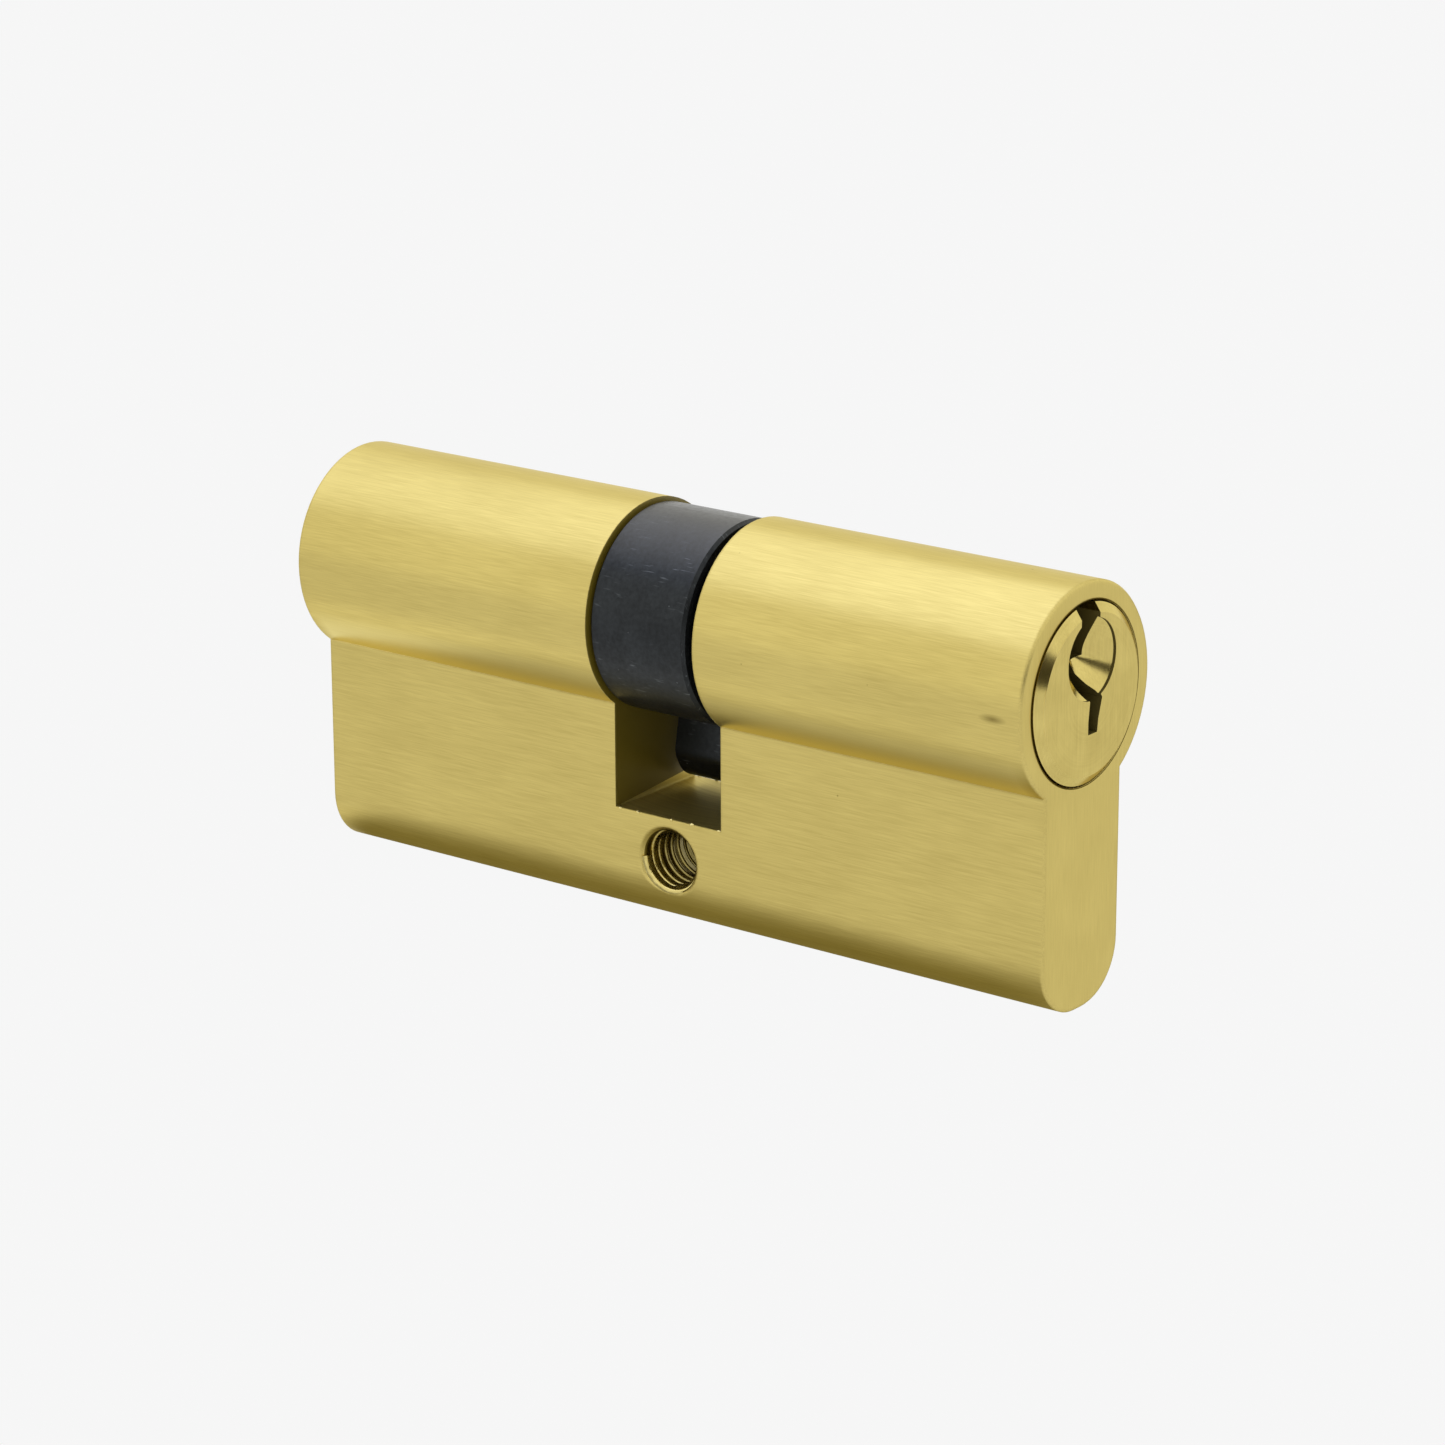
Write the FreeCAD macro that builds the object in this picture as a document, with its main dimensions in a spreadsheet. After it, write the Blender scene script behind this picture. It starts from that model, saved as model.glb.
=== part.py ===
"""Double profile cylinder for a mortice deadbolt lock: a 70 mm brass lock cylinder, keyed from both ends.

Frame: +X along the lock towards key end A, +Y across it, +Z up, away from the flange.
The origin is on the axis that both plugs and the cam turn on, above the fixing screw's hole.
Everything is in millimetres. The pins stand at the shear line, as a fitting key holds them.
"""
import FreeCAD, Part
import os
import re
import Sketcher

DRIVING_SIZES = {
    # housing, a standard profile: round top, flange below
    "half_length": 35.0,
    "round_radius": 8.5,
    "flange_width": 10.0,
    "profile_height": 33.0,
    "foot_flat": 1.0,
    "end_chamfer": 0.2,
    "window_width": 10.34,
    "bridge_height": 9.2,
    # fixing screw's thread, across the bridge
    "screw_diameter": 5.0,
    "screw_height": 5.65,
    "screw_chamfer": 0.37,
    # plugs
    "plug_radius": 6.5,
    "plug_clearance": 0.04,
    "head_step": 0.38,
    "head_gap": 0.17,
    "head_length": 1.5,
    "head_proud": 0.55,
    "head_bevel": 0.72,
    "bevel_depth": 0.5,
    "inner_gap": 0.15,
    # key entry
    "entry_radius": 3.14,
    "entry_height": 2.72,
    "entry_wall": 0.25,
    "drill_half_angle": 59.0,
    "slot_left": 1.5,
    "slot_right": 0.95,
    # retaining rings
    "ring_step": 0.7,
    "ring_thickness": 0.85,
    "ring_groove_depth": 0.8,
    "ring_clearance": 0.05,
    "ring_opening": 70.0,
    # cam
    "cam_sink": 0.33,
    "cam_play": 1.1,
    "cam_side_gap": 0.12,
    "cam_chamfer": 0.25,
    "web_thickness": 1.2,
    "lobe_angle": 26.5,
    "lobe_clearance": 0.12,
    "lobe_neck": 5.5,
    "lobe_width": 9.1,
    "lobe_inset": 1.05,
    "neck_length": 0.73,
    "flare_length": 2.4,
    "lobe_corner": 2.6,
    "lobe_blend": 1.5,
    # clutch
    "wing_width": 2.9,
    "wing_inset": 0.9,
    "wing_thickness": 2.0,
    "wing_clearance": 0.05,
    "wing_grip": 1.0,
    "nose_radius": 1.4,
    # pin stacks
    "first_pin": 6.5,
    "pin_pitch": 4.0,
    "pin_radius": 1.45,
    "pin_clearance": 0.05,
    "pin_end_land": 0.9,
    "pin_end_rise": 0.2,
    "pin_tip_land": 0.4,
    "pin_tip_rise": 0.9,
    "shear_gap": 0.03,
    "key_pin_inset": 0.08,
    "chamber_top": 1.2,
    "driver_length": 5.5,
    "closer_length": 2.0,
    "closer_inset": 0.12,
    "spring_wire": 0.16,
    "spring_turns": 8.0,
    "spring_end_gap": 0.02,
    # how far a cut runs past the surface it starts from
    "cut_overrun": 1.0,
}
KEY_PIN_LENGTHS = (4.2, 5.1, 4.5, 5.7, 4.8)

# Wards of the key slot below its wide mouth, as (across, up) from the plug's axis.
SLOT_RIGHT_WALL = (
    (-0.28, 2.28), (-0.23, 1.45), (0.47, 0.59), (1.07, 0.05), (1.4, -0.45), (0.93, -1.98), (0.8, -2.98),
)
SLOT_LEFT_WALL = ((-0.39, -2.98), (-0.39, -2.0), (-0.2, -0.47), (-0.9, 0.3), (-1.6, 1.45))
SLOT_RIGHT_SHOULDER = 2.6
SLOT_LEFT_SHOULDER = 2.8

SIDES = ("a", "b")
X_AXIS = FreeCAD.Vector(1, 0, 0)
Y_AXIS = FreeCAD.Vector(0, 1, 0)
Z_AXIS = FreeCAD.Vector(0, 0, 1)

doc = FreeCAD.newDocument("profile_cylinder")
nodes = []


def make_sheet():
    """Put the driving sizes in a spreadsheet, one aliased cell each."""
    sheet = doc.addObject("Spreadsheet::Sheet", "sizes")
    values = dict(DRIVING_SIZES)
    for number, length in enumerate(KEY_PIN_LENGTHS, start=1):
        values["key_pin_length_%s" % "_abcde"[number]] = length
    for row, (alias, value) in enumerate(values.items(), start=1):
        sheet.set("A%d" % row, alias)
        sheet.set("B%d" % row, str(value))
        sheet.setAlias("B%d" % row, alias)
    doc.recompute()
    return sheet


sheet = make_sheet()


def on_sheet(text):
    """Turn plain size names in an expression into references to the sheet. Every name has an underscore."""
    return re.sub(r"[a-z]+(?:_[a-z]+)+", r"sizes.\g<0>", text)


def value(text):
    """Work out an expression of sheet sizes now."""
    result = sheet.evalExpression(on_sheet(text))
    return float(getattr(result, "Value", result))


# Places that several pieces share, each worked out from the driving sizes.
SCREW_Z = "(round_radius - profile_height + screw_height)"
FOOT_Z = "(round_radius - profile_height)"
FLOOR_Z = "(round_radius - profile_height + bridge_height)"
FOOT_RADIUS = "((flange_width - foot_flat) / 2)"
BORE_RADIUS = "(plug_radius + plug_clearance)"
HEAD_RADIUS = "(plug_radius + head_step)"
CHAMBER_RADIUS = "(pin_radius + pin_clearance)"
PLUG_INNER_END = "(web_thickness / 2 + inner_gap)"
RING_OUTER_X = "(window_width / 2 - ring_clearance)"
RING_INNER_X = "(window_width / 2 - ring_clearance - ring_thickness)"
RING_RADIUS = "(plug_radius + ring_step)"
RING_SEAT_RADIUS = "(plug_radius - ring_groove_depth)"
CAM_RADIUS = "(round_radius - cam_sink)"
CAM_WIDTH = "(window_width - cam_side_gap - cam_play)"
LOBE_REACH = "(profile_height - round_radius - bridge_height - lobe_clearance)"
NECK_END = "(round_radius - cam_sink + neck_length)"
FLARE_END = "(round_radius - cam_sink + neck_length + flare_length)"
WING_RADIUS = "(plug_radius - wing_inset)"
SLOT_WIDTH = "(wing_width + 2 * wing_clearance)"
CLUTCH_TRAVEL = "(wing_grip + 2 * wing_clearance)"
WING_SPACING = "(web_thickness + 4 * wing_clearance)"
WING_LOW_X = "(web_thickness / 2 - wing_grip)"
DRIVER_BOTTOM = "(0 - plug_radius - shear_gap - driver_length)"
CLOSER_TOP = "(round_radius - profile_height + closer_inset + closer_length)"


def minus(text):
    return "0 - (%s)" % text


def bind(obj, **expressions):
    """Bind properties to sheet expressions; double underscores in a name stand for dots."""
    for name, text in expressions.items():
        obj.setExpression(name.replace("__", "."), on_sheet(text))
    return obj


def add_node(obj, name):
    """Name a finished sub-part and put it on the list of nodes to write."""
    obj.Label = name
    nodes.append((name, obj))
    return obj


def make_body(name):
    body = doc.addObject("PartDesign::Body", "body_" + name)
    return add_node(body, name)


def new_sketch(body, role, name, x="0", y="0", height="0", turn="0"):
    """Start a sketch on one of the body's origin planes, shifted and turned in that plane."""
    sketch = body.newObject("Sketcher::SketchObject", name)
    plane = next(item for item in body.Origin.OriginFeatures if item.Role == role)
    sketch.AttachmentSupport = [(plane, "")]
    sketch.MapMode = "FlatFace"
    offset = FreeCAD.Vector(value(x), value(y), value(height))
    sketch.AttachmentOffset = FreeCAD.Placement(offset, FreeCAD.Rotation(Z_AXIS, value(turn)))
    bind(sketch, AttachmentOffset__Base__x=x, AttachmentOffset__Base__y=y, AttachmentOffset__Base__z=height)
    if turn != "0":
        bind(sketch, AttachmentOffset__Rotation__Angle=turn)
    return sketch


def outline(sketch, points):
    """Draw a closed outline of straight lines and tie every corner to the sheet."""
    places = [FreeCAD.Vector(value(x), value(y), 0) for x, y in points]
    for start, end in zip(places, places[1:] + places[:1]):
        sketch.addGeometry(Part.LineSegment(start, end))
    count = len(points)
    for index in range(count):
        sketch.addConstraint(Sketcher.Constraint("Coincident", index, 2, (index + 1) % count, 1))
    for index, (x, y) in enumerate(points):
        for kind, text, axis in (("DistanceX", x, -2), ("DistanceY", y, -1)):
            size = value(text)
            if abs(size) < 1e-9:
                sketch.addConstraint(Sketcher.Constraint("PointOnObject", index, 1, axis))
                continue
            number = sketch.addConstraint(Sketcher.Constraint(kind, -1, 1, index, 1, size))
            sketch.setExpression("Constraints[%d]" % number, on_sheet(text))


def circle(sketch, radius):
    """Draw a circle about the sketch's origin with its radius tied to the sheet."""
    sketch.addGeometry(Part.Circle(FreeCAD.Vector(0, 0, 0), Z_AXIS, value(radius)))
    sketch.addConstraint(Sketcher.Constraint("Coincident", 0, 3, -1, 1))
    number = sketch.addConstraint(Sketcher.Constraint("Radius", 0, value(radius)))
    sketch.setExpression("Constraints[%d]" % number, on_sheet(radius))



def pad(body, sketch, length, symmetric=False):
    feature = body.newObject("PartDesign::Pad", sketch.Name + "_pad")
    feature.Profile = sketch
    feature.SideType = "Symmetric" if symmetric else "One side"
    return bind(feature, Length=length)


def pocket(body, sketch, length, symmetric=False, backwards=False):
    feature = body.newObject("PartDesign::Pocket", sketch.Name + "_pocket")
    feature.Profile = sketch
    feature.SideType = "Symmetric" if symmetric else "One side"
    feature.Reversed = backwards
    return bind(feature, Length=length)


def turned(body, sketch, kind):
    """Revolve or groove a sketch about its own horizontal axis."""
    feature = body.newObject("PartDesign::" + kind, sketch.Name + "_turned")
    feature.Profile = sketch
    feature.ReferenceAxis = (sketch, ["H_Axis"])
    feature.Angle = 360
    return feature


def row_of_pins(body, feature, towards_middle=True):
    """Repeat a drilled feature along the lock, once for each pin, towards -X or +X."""
    pattern = body.newObject("PartDesign::LinearPattern", feature.Name + "_row")
    pattern.Originals = [feature]
    x_axis = next(item for item in body.Origin.OriginFeatures if item.Role == "X_Axis")
    pattern.Direction = (x_axis, [""])
    pattern.Occurrences = len(KEY_PIN_LENGTHS)
    pattern.Reversed = towards_middle
    bind(pattern, Length="pin_pitch * %d" % (len(KEY_PIN_LENGTHS) - 1))
    body.Tip = pattern


def chosen_edges(feature, test):
    """Names of a feature's edges whose every vertex and middle pass the test."""
    doc.recompute()
    names = []
    for number, edge in enumerate(feature.Shape.Edges, start=1):
        middle = edge.valueAt((edge.FirstParameter + edge.LastParameter) / 2)
        if all(test(point) for point in [vertex.Point for vertex in edge.Vertexes] + [middle]):
            names.append("Edge%d" % number)
    return names


def dress(body, kind, base, edges, size):
    feature = body.newObject("PartDesign::" + kind, base.Name + "_" + kind.lower())
    feature.Base = (base, edges)
    return bind(feature, **{"Radius" if kind == "Fillet" else "Size": size})


def solid(kind, name, **expressions):
    """A Part primitive with its sizes tied to the sheet."""
    return bind(doc.addObject("Part::" + kind, name), **expressions)


def along_x(obj, x, z="0"):
    """Lay a primitive's own Z axis along +X, starting at x."""
    obj.Placement = FreeCAD.Placement(FreeCAD.Vector(value(x), 0, value(z)), FreeCAD.Rotation(Y_AXIS, 90))
    return bind(obj, Placement__Base__x=x, Placement__Base__z=z)


def pin_x(side, index):
    """Where a pin stack stands along the lock, counted from the key end."""
    sign = "" if side == "a" else "0 - "
    return "%s(half_length - first_pin - %d * pin_pitch)" % (sign, index)


def add_cylinder_body():
    """Housing: a round barrel on a flat flange, cut through the middle for the cam."""
    body = make_body("cylinder_body")
    barrel = new_sketch(body, "YZ_Plane", "barrel")
    circle(barrel, "round_radius")
    pad(body, barrel, "2 * half_length", symmetric=True)

    flange = new_sketch(body, "YZ_Plane", "flange")
    edge = "flange_width / 2"
    outline(flange, [(minus(edge), "0"), (minus(edge), FOOT_Z), (edge, FOOT_Z), (edge, "0")])
    flange_pad = pad(body, flange, "2 * half_length", symmetric=True)
    foot = value(FOOT_Z)
    side = value(edge)
    edges = chosen_edges(flange_pad, lambda point: abs(point.z - foot) < 1e-6 and abs(point.y) > side - 1e-6)
    rounded = dress(body, "Fillet", flange_pad, edges, FOOT_RADIUS)
    end = value("half_length")
    edges = chosen_edges(rounded, lambda point: abs(abs(point.x) - end) < 1e-6)
    dress(body, "Chamfer", rounded, edges, "end_chamfer")

    window = new_sketch(body, "XZ_Plane", "window")
    side = "window_width / 2"
    top = "round_radius + cut_overrun"
    outline(window, [(minus(side), FLOOR_Z), (side, FLOOR_Z), (side, top), (minus(side), top)])
    pocket(body, window, "4 * round_radius", symmetric=True)

    bore = new_sketch(body, "XZ_Plane", "bore")
    out = "half_length + cut_overrun"
    seat = "half_length - head_length - plug_clearance"
    wide = HEAD_RADIUS + " + head_gap"
    outline(bore, [
        (minus(out), "0"), (minus(out), wide), (minus(seat), wide), (minus(seat), BORE_RADIUS),
        (seat, BORE_RADIUS), (seat, wide), (out, wide), (out, "0"),
    ])
    turned(body, bore, "Groove")

    for end_name in SIDES:
        first_x = pin_x(end_name, 0)
        drilling_height = "0 - plug_radius / 2"
        chamber = new_sketch(body, "XY_Plane", "chamber_" + end_name, x=first_x, height=drilling_height)
        circle(chamber, CHAMBER_RADIUS)
        drilled = pocket(body, chamber, "profile_height")
        row_of_pins(body, drilled, towards_middle=end_name == "a")

    thread = new_sketch(body, "YZ_Plane", "thread", y=SCREW_Z)
    outside = "flange_width / 2 + cut_overrun"
    root = "screw_diameter / 2"
    flare = "screw_diameter / 2 + screw_chamfer + cut_overrun"
    inside = "flange_width / 2 - screw_chamfer"
    outline(thread, [
        (minus(outside), "0"), (minus(outside), flare), (minus(inside), root),
        (inside, root), (outside, flare), (outside, "0"),
    ])
    turned(body, thread, "Groove")


def add_plug(side):
    """Plug: turned from brass bar, slotted for the key and drilled from below for its pins."""
    body = make_body("plug_" + side)
    if side == "b":
        body.Placement = FreeCAD.Placement(FreeCAD.Vector(0, 0, 0), FreeCAD.Rotation(Z_AXIS, 180))
    stock = new_sketch(body, "XZ_Plane", "stock_" + side)
    head_back = "half_length - head_length"
    face = "half_length + head_proud"
    bevel_back = "half_length + head_proud - bevel_depth"
    groove_low = "window_width / 2 - 2 * ring_clearance - ring_thickness"
    groove_high = "window_width / 2 - ring_clearance / 2"
    outline(stock, [
        (PLUG_INNER_END, "0"), (PLUG_INNER_END, "plug_radius"),
        (groove_low, "plug_radius"), (groove_low, RING_SEAT_RADIUS),
        (groove_high, RING_SEAT_RADIUS), (groove_high, "plug_radius"),
        (head_back, "plug_radius"), (head_back, HEAD_RADIUS), (bevel_back, HEAD_RADIUS),
        (face, HEAD_RADIUS + " - head_bevel"), (face, "0"),
    ])
    turned(body, stock, "Revolution")

    entry = new_sketch(body, "XZ_Plane", "entry_" + side, y="entry_height")
    front = "half_length + head_proud + cut_overrun"
    wall = "half_length + head_proud - entry_wall"
    point = "half_length + head_proud - entry_wall - entry_radius / tan(drill_half_angle * 1deg)"
    outline(entry, [(point, "0"), (wall, "entry_radius"), (front, "entry_radius"), (front, "0")])
    turned(body, entry, "Groove")

    slot = new_sketch(body, "YZ_Plane", "slot_" + side)
    above = "plug_radius + cut_overrun"
    right = [("slot_right", above), ("slot_right", str(SLOT_RIGHT_SHOULDER))]
    left = [("0 - slot_left", str(SLOT_LEFT_SHOULDER)), ("0 - slot_left", above)]
    wards = [(str(across), str(up)) for across, up in SLOT_RIGHT_WALL + SLOT_LEFT_WALL]
    outline(slot, right + wards + left)
    pocket(body, slot, "3 * half_length", symmetric=True)

    chamber = new_sketch(body, "XY_Plane", "pin_hole_" + side, x=pin_x("a", 0), height="chamber_top")
    circle(chamber, CHAMBER_RADIUS)
    row_of_pins(body, pocket(body, chamber, "chamber_top + 2 * plug_radius"))

    drive = new_sketch(body, "XZ_Plane", "drive_" + side)
    deep = "%s + 2 * wing_clearance + 2 * %s + wing_thickness" % (WING_LOW_X, CLUTCH_TRAVEL)
    half = SLOT_WIDTH + " / 2"
    outline(drive, [("0", minus(half)), (deep, minus(half)), (deep, half), ("0", half)])
    pocket(body, drive, "4 * plug_radius", symmetric=True)


def add_retaining_ring(side):
    """Retaining ring: a snap ring in the plug's groove, which stops the plug being drawn out."""
    start = RING_INNER_X if side == "a" else minus(RING_OUTER_X)
    outer = solid("Cylinder", "ring_outer_" + side, Radius=RING_RADIUS, Height="ring_thickness")
    bind(outer, Angle="360 - ring_opening")
    inner = solid("Cylinder", "ring_inner_" + side, Radius=RING_SEAT_RADIUS + " + plug_clearance")
    bind(inner, Height="ring_thickness")
    for disc in (outer, inner):
        along_x(disc, start)
    lying = FreeCAD.Rotation(Y_AXIS, 90).multiply(FreeCAD.Rotation(Z_AXIS, 180))
    outer.Placement.Rotation = FreeCAD.Rotation(X_AXIS, value("ring_opening") / 2).multiply(lying)
    ring = doc.addObject("Part::Cut", "ring_" + side)
    ring.Base, ring.Tool = outer, inner
    add_node(ring, "retaining_ring_" + side)


def add_cam():
    """Cam: a steel ring with a web for the clutch and a flared lobe that throws the bolt."""
    body = make_body("cam")
    low = "0 - window_width / 2 + cam_side_gap"
    high = CAM_WIDTH + " - window_width / 2 + cam_side_gap"
    recess = "0 - window_width / 2 + 2 * ring_clearance + ring_thickness + cam_side_gap"
    web = "web_thickness / 2"
    section = new_sketch(body, "XZ_Plane", "cam_section")
    recess_radius = RING_RADIUS + " + 3 * ring_clearance"
    shoulder_radius = CAM_RADIUS + " - cam_chamfer"
    outline(section, [
        (low, recess_radius), (low, shoulder_radius), (low + " + cam_chamfer", CAM_RADIUS),
        (high + " - cam_chamfer", CAM_RADIUS), (high, shoulder_radius), (high, BORE_RADIUS),
        (web, BORE_RADIUS), (web, "0"), (minus(web), "0"), (minus(web), BORE_RADIUS),
        (recess, BORE_RADIUS), (recess, recess_radius),
    ])
    turned(body, section, "Revolution")

    lobe_side = low + " + lobe_inset"
    lobe = new_sketch(body, "YZ_Plane", "lobe", height=lobe_side, turn="lobe_angle")
    neck, shoulder = "lobe_neck / 2", "lobe_width / 2"
    root = minus(recess_radius + " + ring_clearance")
    down = minus(LOBE_REACH + " + cut_overrun")
    outline(lobe, [
        (minus(neck), root), (minus(neck), minus(NECK_END)),
        (minus(shoulder), minus(FLARE_END)), (minus(shoulder), down),
        (shoulder, down), (shoulder, minus(FLARE_END)), (neck, minus(NECK_END)), (neck, root),
    ])
    pad(body, lobe, CAM_WIDTH + " - lobe_inset")

    tip = new_sketch(body, "XZ_Plane", "tip")
    left, right = low + " - cut_overrun", high + " + cut_overrun"
    outer = LOBE_REACH + " + 4 * cut_overrun"
    outline(tip, [(left, LOBE_REACH), (right, LOBE_REACH), (right, outer), (left, outer)])
    trimmed = turned(body, tip, "Groove")

    turn = FreeCAD.Rotation(X_AXIS, -value("lobe_angle"))

    def corner(across, reach):
        """Edges along the lock at one place on the upright lobe and on its mirror image."""
        def test(point):
            upright = turn.multVec(point)
            return abs(abs(upright.y) - value(across)) < 0.01 and abs(upright.z + reach) < 0.01
        return test

    tip_drop = (value(LOBE_REACH) ** 2 - value(shoulder) ** 2) ** 0.5
    shape = trimmed
    for across, reach, radius in (
        (shoulder, tip_drop, "lobe_corner"),
        (shoulder, value(FLARE_END), "lobe_blend"),
        (neck, value(NECK_END), "lobe_blend"),
    ):
        shape = dress(body, "Fillet", shape, chosen_edges(shape, corner(across, reach)), radius)

    driven = new_sketch(body, "XY_Plane", "driven")
    long = WING_RADIUS + " + 2 * wing_clearance"
    outline(driven, [(minus(web), minus(long)), (web, minus(long)), (web, long), (minus(web), long)])
    pocket(body, driven, SLOT_WIDTH, symmetric=True)


def add_clutch_half(side):
    """Clutch half: a winged coupling that slides in its plug's slot and, pushed in, grips the cam's web."""
    nose_length = "(%s / 2 - wing_clearance / 2)" % WING_SPACING
    if side == "a":
        wing_x, nose_x = WING_LOW_X, WING_LOW_X + " - " + nose_length
    else:
        wing_x = "%s - %s - wing_thickness" % (WING_LOW_X, WING_SPACING)
        nose_x = wing_x + " + wing_thickness"
    wing = solid("Box", "wing_" + side, Length="wing_thickness", Width="2 * " + WING_RADIUS)
    bind(wing, Height="wing_width", Placement__Base__x=wing_x)
    bind(wing, Placement__Base__y=minus(WING_RADIUS), Placement__Base__z=minus("wing_width / 2"))
    disc = solid("Cylinder", "wing_disc_" + side, Radius=WING_RADIUS, Height="wing_thickness")
    along_x(disc, wing_x)
    bar = doc.addObject("Part::Common", "bar_" + side)
    bar.Base, bar.Tool = wing, disc
    nose = solid("Cylinder", "nose_" + side, Radius="nose_radius", Height=nose_length)
    along_x(nose, nose_x)
    half = doc.addObject("Part::Fuse", "clutch_" + side)
    half.Base, half.Tool = bar, nose
    add_node(half, "clutch_half_" + side)


def add_turned_pin(name, x, bottom, points):
    """A pin turned about its own upright axis from (radius, height above its foot) points."""
    body = make_body(name)
    foot = FreeCAD.Vector(value(x), 0, value(bottom))
    body.Placement = FreeCAD.Placement(foot, FreeCAD.Rotation(Y_AXIS, -90))
    bind(body, Placement__Base__x=x, Placement__Base__z=bottom)
    profile = new_sketch(body, "XZ_Plane", name + "_profile")
    outline(profile, [(height, radius) for radius, height in points])
    turned(body, profile, "Revolution")


def add_pin_stack(side, index):
    """One pin stack: a pointed key pin in the plug, a driver below the shear line and its spring."""
    tag = "%s%d" % (side, index + 1)
    x = pin_x(side, index)
    length = "key_pin_length_" + "abcde"[index]
    add_turned_pin("key_pin_" + tag, x, "0 - plug_radius + key_pin_inset", [
        ("0", "0"), ("pin_end_land", "0"), ("pin_radius", "pin_end_rise"),
        ("pin_radius", length + " - pin_tip_rise"), ("pin_tip_land", length), ("0", length),
    ])
    add_turned_pin("driver_pin_" + tag, x, DRIVER_BOTTOM, [
        ("0", "0"), ("pin_end_land", "0"), ("pin_radius", "pin_end_rise"),
        ("pin_radius", "driver_length - pin_end_rise / 2"),
        ("pin_radius - pin_end_rise / 2", "driver_length"),
        ("0", "driver_length"),
    ])
    add_pin_spring(tag, x)


def add_pin_spring(tag, x):
    """Pin spring: a coil of bronze wire between the chamber's closer and the driver pin."""
    coil_radius = "pin_radius - 2 * spring_wire"
    low = CLOSER_TOP + " + spring_end_gap + spring_wire"
    height = "%s - (%s) - spring_end_gap - spring_wire" % (DRIVER_BOTTOM, low)
    path = solid("Helix", "coil_path_" + tag, Radius=coil_radius, Height=height)
    bind(path, Pitch="(%s) / spring_turns" % height)
    wire = solid("Circle", "coil_wire_" + tag, Radius="spring_wire")
    start = FreeCAD.Vector(value(coil_radius), 0, 0)
    wire.Placement = FreeCAD.Placement(start, FreeCAD.Rotation(X_AXIS, 90))
    bind(wire, Placement__Base__x=coil_radius)
    spring = doc.addObject("Part::Sweep", "coil_" + tag)
    spring.Sections = [wire]
    spring.Spine = (path, ["Edge1"])
    spring.Solid = True
    spring.Frenet = True
    bind(spring, Placement__Base__x=x, Placement__Base__z=low)
    add_node(spring, "pin_spring_" + tag)


def add_chamber_closers(side):
    """Chamber closers: brass slugs pressed into the drilled chambers from below to hold the springs in."""
    foot = CLOSER_TOP + " - closer_length"
    slugs = []
    for index in range(len(KEY_PIN_LENGTHS)):
        slug = solid("Cylinder", "slug_%s%d" % (side, index + 1), Radius=CHAMBER_RADIUS)
        bind(slug, Height="closer_length")
        slugs.append(bind(slug, Placement__Base__x=pin_x(side, index), Placement__Base__z=foot))
    group = doc.addObject("Part::Compound", "slugs_" + side)
    group.Links = slugs
    add_node(group, "chamber_closers_" + side)


add_cylinder_body()
add_cam()
for side in SIDES:
    add_plug(side)
    add_retaining_ring(side)
    add_clutch_half(side)
    for index in range(len(KEY_PIN_LENGTHS)):
        add_pin_stack(side, index)
    add_chamber_closers(side)

doc.recompute()
for item in doc.Objects:
    if "Invalid" in item.State or "Error" in item.State:
        raise RuntimeError("%s did not build: %s" % (item.Label, item.State))
for name, obj in nodes:
    if obj.Shape.isNull() or not obj.Shape.isValid() or not obj.Shape.Solids:
        raise RuntimeError("%s has no valid solid" % name)

os.makedirs("parts", exist_ok=True)
for name, obj in nodes:
    obj.Shape.exportStep("parts/%s.step" % name)
    print("%-20s %9.3f mm3, %d solid(s)" % (name, obj.Shape.Volume, len(obj.Shape.Solids)))
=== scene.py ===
"""Looks of a double profile lock cylinder: its brass, black oxide and spring finishes, and its stage."""
import math

import bpy
from mathutils import Matrix, Vector


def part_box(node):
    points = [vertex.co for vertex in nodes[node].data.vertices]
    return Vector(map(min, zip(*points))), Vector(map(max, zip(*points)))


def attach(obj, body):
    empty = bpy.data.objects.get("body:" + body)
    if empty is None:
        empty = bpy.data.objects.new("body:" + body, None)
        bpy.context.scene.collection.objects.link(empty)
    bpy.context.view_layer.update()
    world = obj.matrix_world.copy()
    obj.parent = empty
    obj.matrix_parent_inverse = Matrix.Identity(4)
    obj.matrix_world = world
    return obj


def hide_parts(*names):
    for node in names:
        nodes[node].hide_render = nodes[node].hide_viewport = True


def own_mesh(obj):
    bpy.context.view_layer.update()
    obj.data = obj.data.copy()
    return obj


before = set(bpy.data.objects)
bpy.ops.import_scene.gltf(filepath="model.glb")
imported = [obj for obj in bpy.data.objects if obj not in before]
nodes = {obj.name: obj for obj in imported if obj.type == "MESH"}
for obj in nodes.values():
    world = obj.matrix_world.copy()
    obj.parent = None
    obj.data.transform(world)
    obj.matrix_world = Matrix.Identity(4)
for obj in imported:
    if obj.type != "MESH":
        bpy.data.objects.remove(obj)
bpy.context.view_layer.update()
MM = 0.001


# ---- Housing -------------------------------------------------------------------------------------------
# The housing is one length of brass bar, drawn through a profile die and linished along its length, so fine
# lines run from end to end. The sawn ends are faced on a belt, which leaves short upright lines. A cutter
# mills the window for the cam across the middle, and its feed marks show on the window's floor.

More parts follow.
